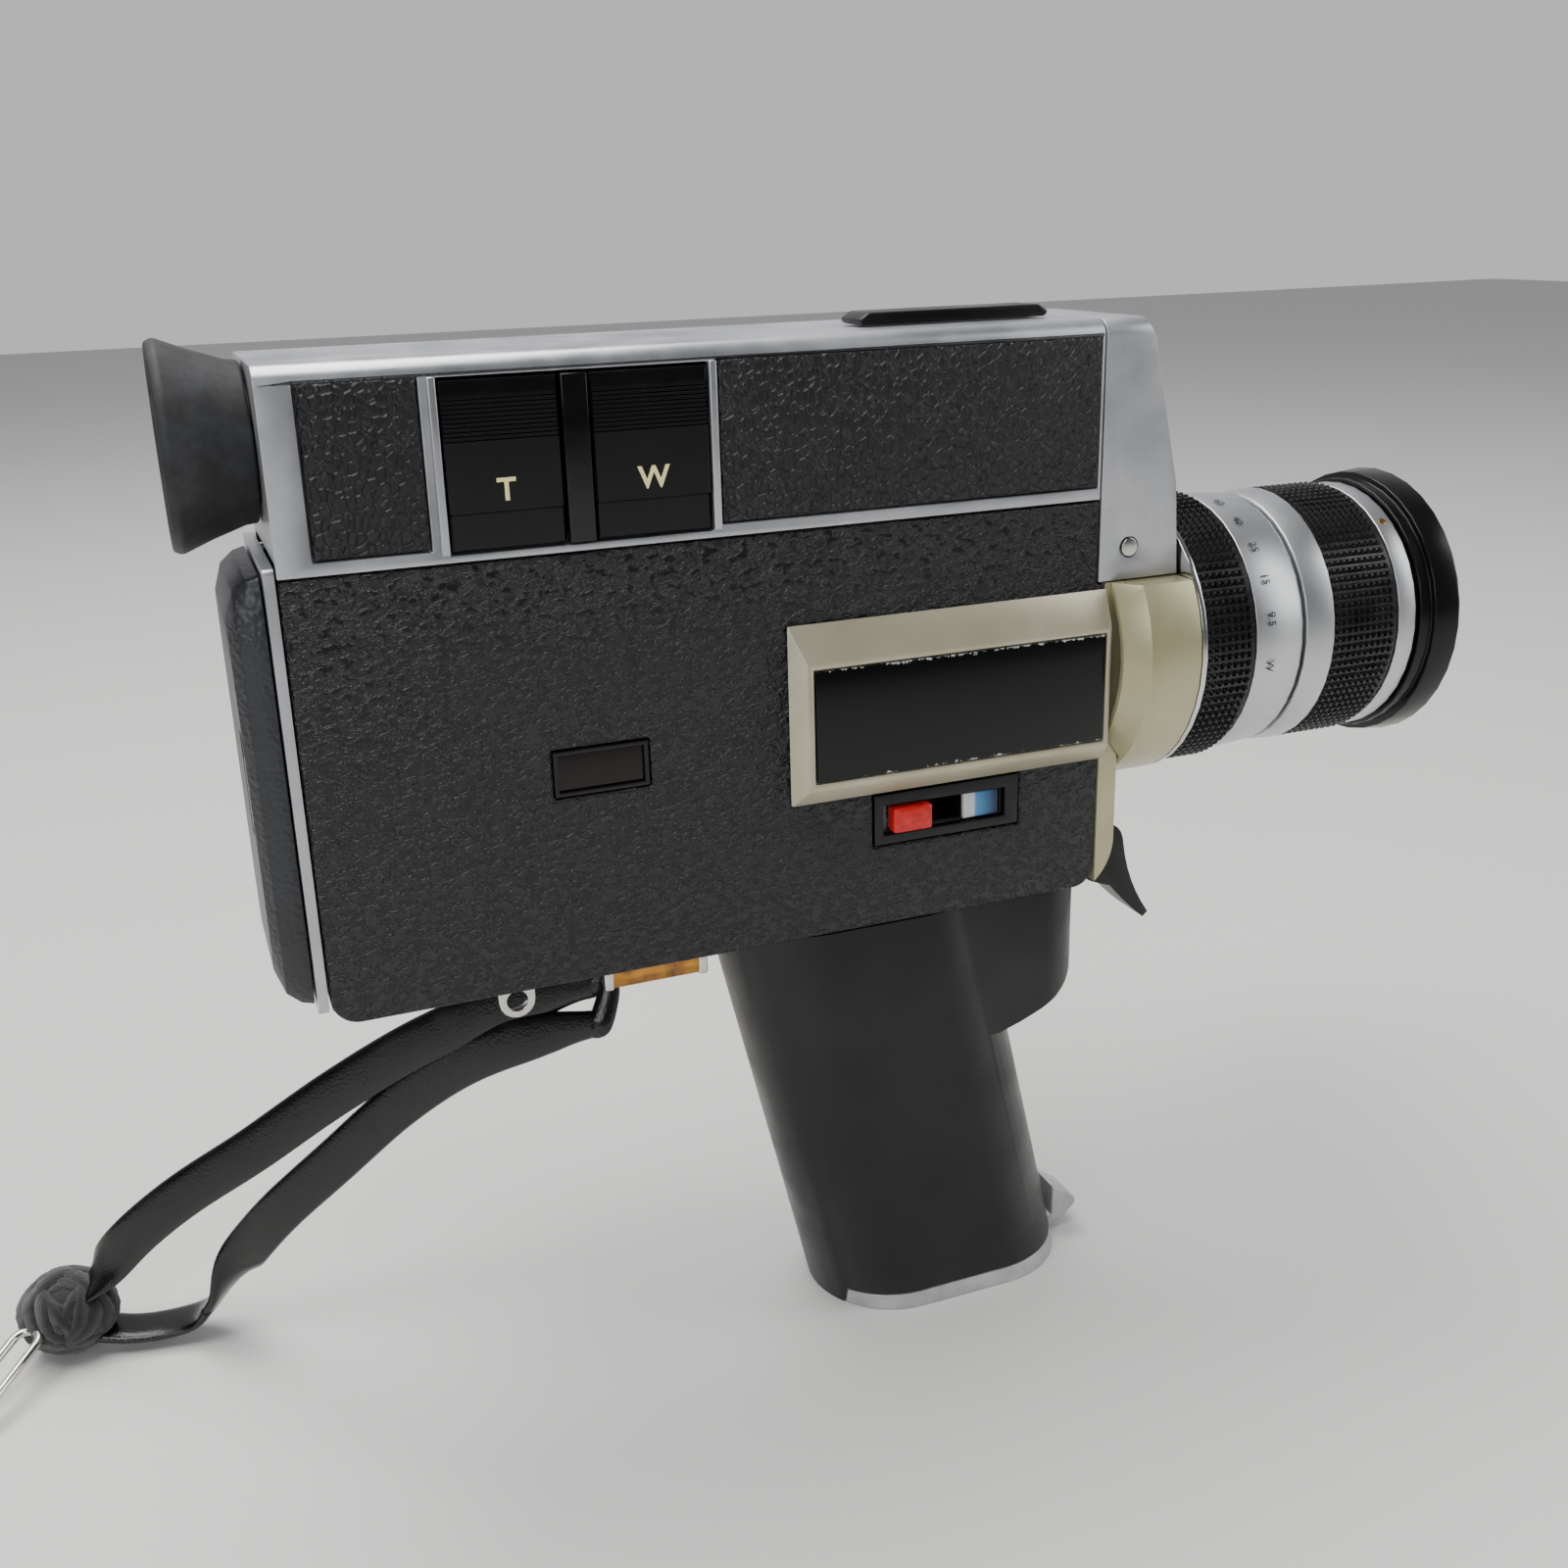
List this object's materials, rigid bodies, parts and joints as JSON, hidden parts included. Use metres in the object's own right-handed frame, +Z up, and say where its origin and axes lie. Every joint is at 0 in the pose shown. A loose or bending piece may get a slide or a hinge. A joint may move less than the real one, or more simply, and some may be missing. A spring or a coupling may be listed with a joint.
{
  "type": "cine camera",
  "caption": "Hand-held Super 8 cine camera with a power zoom lens, battery grip, rubber eyecup, rear film door, trigger and wrist strap.",
  "frame": {"origin": "centre of the grip's flat base, which stands on the table", "axes": "+X is the way the lens points, +Z is up, +Y is the camera's left-hand side, so the film-window side faces -Y"},
  "size_m": [0.2844, 0.0723, 0.1894],
  "materials": {
    "satin_silver_metal": "satin anodised and clear-lacquered die casting",
    "bright_metal": "bright plated",
    "cream_paint": "satin champagne cream lacquer on an aluminium casting",
    "black_texture": "coarse black crackle coat on aluminium sheet",
    "black_leather": "grained black leatherette",
    "gloss_black": "polished black moulding",
    "satin_black": "satin black moulding",
    "black_rubber": "matt black moulded rubber",
    "black_metal": "satin black anodised",
    "cast_metal": "as cast",
    "lid_metal": "satin grey paint on casting",
    "red_plastic": "moulded",
    "flag_blue": "printed",
    "amber_plastic": "clear amber moulding",
    "smoked_pane": "smoked clear moulding",
    "lens_glass": "coated optical glass",
    "brass_gear": "machined",
    "steel": "machined",
    "cell_jacket": "printed steel jacket",
    "strap_vinyl": "semi-gloss black vinyl over cord",
    "keeper_cloth": "fuzzy black knit"
  },
  "bodies": {
    "camera_body": {"chassis": "cast_metal", "film_gate": "black_metal", "drive_motor": "steel", "right_cover": "black_texture", "left_cover": "black_texture", "bottom_plate": "black_texture", "cartridge_window": "smoked_pane", "selector_plate": "black_texture", "filter_flag": "flag_blue", "bezel_right": "cream_paint", "nameplate": "gloss_black", "bezel_left": "cream_paint", "front_plate": "cream_paint", "top_cover": "satin_silver_metal", "rear_leather_right": "black_leather", "front_leather_right": "black_leather", "leather_left": "black_leather", "front_cap": "satin_silver_metal", "cap_screw_right": "steel", "cap_screw_left": "steel", "key_divider": "gloss_black", "top_strip": "satin_black", "eyepiece_tube": "black_metal", "eyepiece_lens": "lens_glass", "eyecup": "black_rubber", "finder_prism": "lens_glass", "lens_barrel": "black_metal", "lens_collar": "cream_paint", "collar_ring": "bright_metal", "grip_shell": "satin_black", "battery_1": "cell_jacket", "battery_2": "cell_jacket", "battery_3": "cell_jacket", "battery_4": "cell_jacket", "amber_bar": "amber_plastic", "strap_eyelet": "bright_metal", "strap_upper": "strap_vinyl", "strap_lower": "strap_vinyl", "strap_keeper": "keeper_cloth", "strap_link": "bright_metal"},
    "zoom": {"zoom_ring": "satin_silver_metal", "zoom_grip": "black_rubber"},
    "variator": {"variator_cell": "lens_glass"},
    "focus": {"focus_ring": "satin_silver_metal", "focus_grip": "black_rubber"},
    "front_cell": {"front_ring": "black_metal", "front_glass": "lens_glass"},
    "tele_key": {"tele_key": "gloss_black"},
    "wide_key": {"wide_key": "gloss_black"},
    "selector": {"selector_knob": "red_plastic"},
    "trigger": {"trigger": "satin_black"},
    "door": {"rear_door": "satin_silver_metal", "door_skin": "black_leather"},
    "door_latch": {"door_latch": "bright_metal"},
    "grip_lid": {"grip_lid": "lid_metal"},
    "lid_lever": {"lid_lever": "lid_metal"},
    "shutter": {"shutter_disc": "black_metal"},
    "main_gear": {"main_gear": "brass_gear"},
    "spindle": {"takeup_spindle": "steel"},
    "speed_dial": {"speed_dial": "satin_silver_metal"}
  },
  "joints": [
    {"name": "zoom_turn", "type": "hinge", "parent": "camera_body", "child": "zoom", "pos_m": [0.054, 0, 0.1269], "axis": [1, 0, 0], "range_deg": [0, 75]},
    {"name": "variator_slide", "type": "slide", "parent": "camera_body", "child": "variator", "axis": [1, 0, 0], "range_m": [0, 0.0241]},
    {"name": "focus_turn", "type": "hinge", "parent": "camera_body", "child": "focus", "pos_m": [0.078, 0, 0.1269], "axis": [1, 0, 0], "range_deg": [0, 150]},
    {"name": "front_advance", "type": "slide", "parent": "camera_body", "child": "front_cell", "axis": [1, 0, 0], "range_m": [0, 0.0016]},
    {"name": "tele_key_press", "type": "hinge", "parent": "camera_body", "child": "tele_key", "pos_m": [-0.0782, -0.0163, 0.1586], "axis": [-1, 0, 0], "range_deg": [0, 3.5], "stiffness_Nm_per_rad": 0.02, "springref_deg": -2.29},
    {"name": "wide_key_press", "type": "hinge", "parent": "camera_body", "child": "wide_key", "pos_m": [-0.0553, -0.0163, 0.1586], "axis": [-1, 0, 0], "range_deg": [0, 3.5], "stiffness_Nm_per_rad": 0.02, "springref_deg": -2.29},
    {"name": "selector_slide", "type": "slide", "parent": "camera_body", "child": "selector", "axis": [1, 0, 0], "range_m": [0, 0.0055]},
    {"name": "trigger_pull", "type": "hinge", "parent": "camera_body", "child": "trigger", "pos_m": [0.0346, 0, 0.086], "axis": [0, 1, 0], "range_deg": [0, 7], "stiffness_Nm_per_rad": 0.01, "springref_deg": -3.44},
    {"name": "door_swing", "type": "hinge", "parent": "camera_body", "child": "door", "pos_m": [-0.1139, 0.0178, 0.1212], "axis": [0, 0, -1], "range_deg": [0, 110]},
    {"name": "latch_slide", "type": "slide", "parent": "door", "child": "door_latch", "axis": [0, 0, 1], "range_m": [0, 0.004], "stiffness_N_per_m": 20, "springref_m": -0.0015},
    {"name": "lid_swing", "type": "hinge", "parent": "camera_body", "child": "grip_lid", "pos_m": [-0.0218, 0, 0], "axis": [0, 1, 0], "range_deg": [0, 95]},
    {"name": "lever_swing", "type": "hinge", "parent": "grip_lid", "child": "lid_lever", "pos_m": [0.0265, 0, 0.0024], "axis": [0, 1, 0], "range_deg": [0, 40]},
    {"name": "main_gear_turn", "type": "hinge", "parent": "camera_body", "child": "main_gear", "pos_m": [-0.0348, 0.0137, 0.1179], "axis": [0, 1, 0], "continuous": true},
    {"name": "spindle_turn", "type": "hinge", "parent": "camera_body", "child": "spindle", "pos_m": [-0.0708, 0.0137, 0.1179], "axis": [0, 1, 0], "continuous": true},
    {"name": "shutter_turn", "type": "hinge", "parent": "camera_body", "child": "shutter", "pos_m": [-0.0298, -0.0016, 0.1189], "axis": [1, 0, 0], "continuous": true},
    {"name": "speed_dial_turn", "type": "hinge", "parent": "camera_body", "child": "speed_dial", "pos_m": [-0.00225, 0.02, 0.12265], "axis": [0, 1, 0], "range_deg": [-35, 70]}
  ],
  "couplings": [
    {"joint": "variator_slide", "follows": "zoom_turn", "m_per_rad": 0.0184},
    {"joint": "front_advance", "follows": "focus_turn", "m_per_rad": 0.000611},
    {"joint": "spindle_turn", "follows": "main_gear_turn", "ratio": -1},
    {"joint": "shutter_turn", "follows": "main_gear_turn", "ratio": 6}
  ]
}
